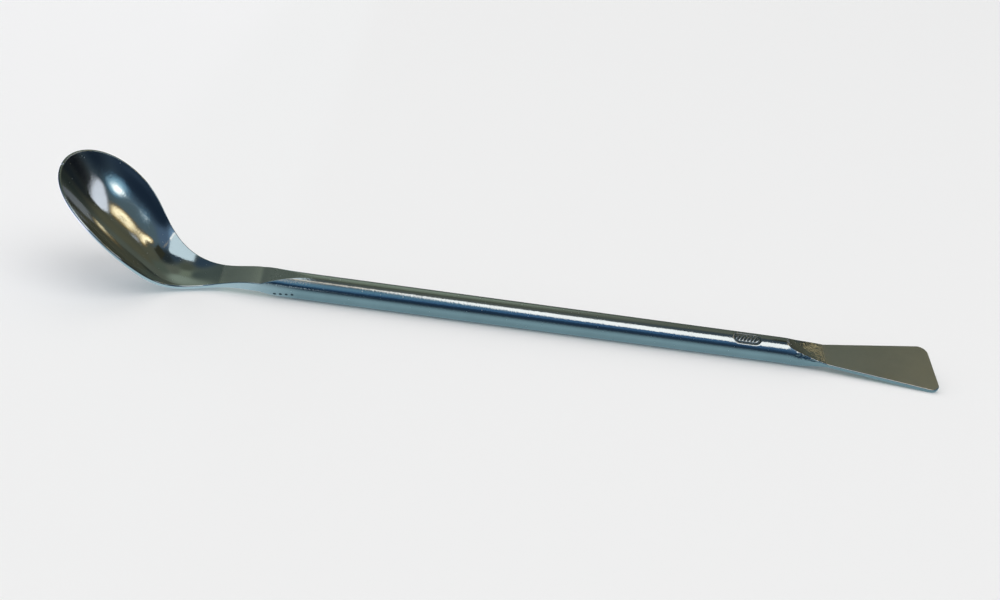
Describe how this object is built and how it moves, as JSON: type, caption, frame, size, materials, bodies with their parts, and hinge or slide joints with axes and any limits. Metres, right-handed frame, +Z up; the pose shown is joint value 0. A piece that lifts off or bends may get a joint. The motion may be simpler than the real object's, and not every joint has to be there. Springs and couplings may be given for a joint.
{
  "type": "lab spatula",
  "caption": "Double-ended laboratory spatula forged from one round rod: an open egg-shaped spoon cranked up at one end, a thin flat flared blade with a square end at the other.",
  "frame": {"origin": "centre of the bounding box's base, on the ground under the resting tool", "axes": "+X runs along the rod from the flat blade to the spoon, +Z is up; the tool lies at rest, rolled about X onto its rod and one lower corner of its blade"},
  "size_m": [0.181, 0.0238, 0.025],
  "materials": {
    "polished_steel": "polished stainless steel with fine hairline scratches"
  },
  "bodies": {
    "root": {"spatula": "polished_steel"}
  },
  "joints": []
}
